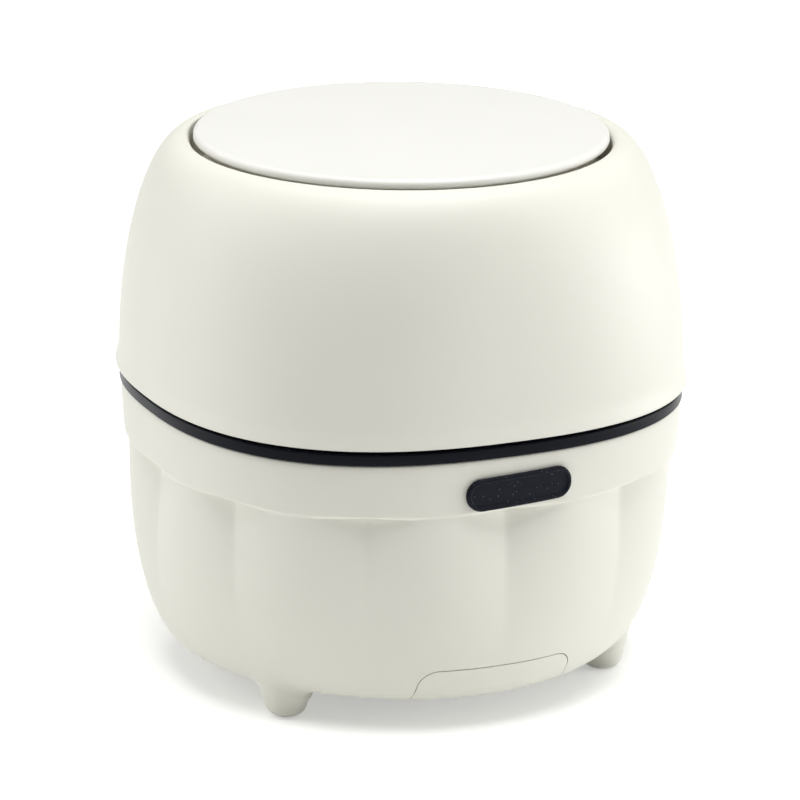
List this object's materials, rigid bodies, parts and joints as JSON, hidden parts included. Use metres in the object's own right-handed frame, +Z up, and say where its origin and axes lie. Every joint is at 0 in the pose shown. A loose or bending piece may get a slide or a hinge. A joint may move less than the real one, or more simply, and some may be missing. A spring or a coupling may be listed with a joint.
{
  "type": "push-top countertop bin",
  "caption": "Small countertop waste bin: fluted bowl on stub feet with a drawer, lift-out bucket, dark bag ring, lift-off domed cover and a round push lid that swings open on a rear hinge.",
  "frame": {"origin": "on the table, under the centre of the bin", "axes": "+Z up, the badge and the drawer face -Y, +X to the right of someone who faces the badge"},
  "size_m": [0.1788, 0.1788, 0.1794],
  "materials": {
    "cream_shell": "matte moulded cream plastic",
    "cream_cover": "matte moulded cream plastic",
    "cream_lid": "matte moulded cream plastic",
    "mouth_plastic": "matte moulded cream plastic",
    "inner_plastic": "plain moulded plastic",
    "navy_ring": "half-gloss blue-black plastic",
    "dark_badge": "fine-grained dark rubber",
    "pad_rubber": "soft grey rubber",
    "latch_plastic": "white acetal",
    "zinc_steel": "zinc-plated steel",
    "pin_steel": "drawn steel rod",
    "spring_steel": "spring wire"
  },
  "bodies": {
    "base": {"body_shell": "cream_shell", "badge": "dark_badge", "drawer_housing": "inner_plastic", "housing_screws": "zinc_steel", "foot_pads": "pad_rubber"},
    "drawer": {"drawer_front": "cream_shell", "drawer_tray": "inner_plastic", "drawer_screws": "zinc_steel"},
    "bucket": {"inner_bucket": "inner_plastic"},
    "ring": {"bag_ring": "navy_ring"},
    "cover": {"upper_cover": "cream_cover", "mouth_ring": "mouth_plastic", "mouth_screws": "zinc_steel", "lid_bumpers": "pad_rubber", "hinge_bracket": "inner_plastic", "bracket_screws": "zinc_steel", "hinge_pin": "pin_steel", "pin_clips": "pin_steel", "spring_left": "spring_steel", "spring_right": "spring_steel", "latch_case": "inner_plastic", "latch_spring": "spring_steel", "latch_screws": "zinc_steel"},
    "jaw": {"latch_jaw": "latch_plastic"},
    "lid": {"lid_disc": "cream_lid", "lid_plate": "mouth_plastic", "lid_screws": "zinc_steel", "latch_striker": "latch_plastic"}
  },
  "joints": [
    {"name": "drawer_slide", "type": "slide", "parent": "base", "child": "drawer", "axis": [0, -1, 0], "range_m": [0, 0.056]},
    {"name": "bucket_lift", "type": "slide", "parent": "base", "child": "bucket", "axis": [0, 0, 1], "range_m": [0, 0.075]},
    {"name": "ring_lift", "type": "slide", "parent": "bucket", "child": "ring", "axis": [0, 0, 1], "range_m": [0, 0.03]},
    {"name": "cover_lift", "type": "slide", "parent": "ring", "child": "cover", "axis": [0, 0, 1], "range_m": [0, 0.06]},
    {"name": "lid_hinge", "type": "hinge", "parent": "cover", "child": "lid", "pos_m": [0, 0.0725, 0.163], "axis": [-1, 0, 0], "range_deg": [-1, 78], "stiffness_Nm_per_rad": 0.036, "springref_deg": 80.21},
    {"name": "jaw_press", "type": "slide", "parent": "cover", "child": "jaw", "axis": [0, 0, -1], "range_m": [0, 0.0022], "stiffness_N_per_m": 300, "deforming": ["latch_spring"]}
  ]
}
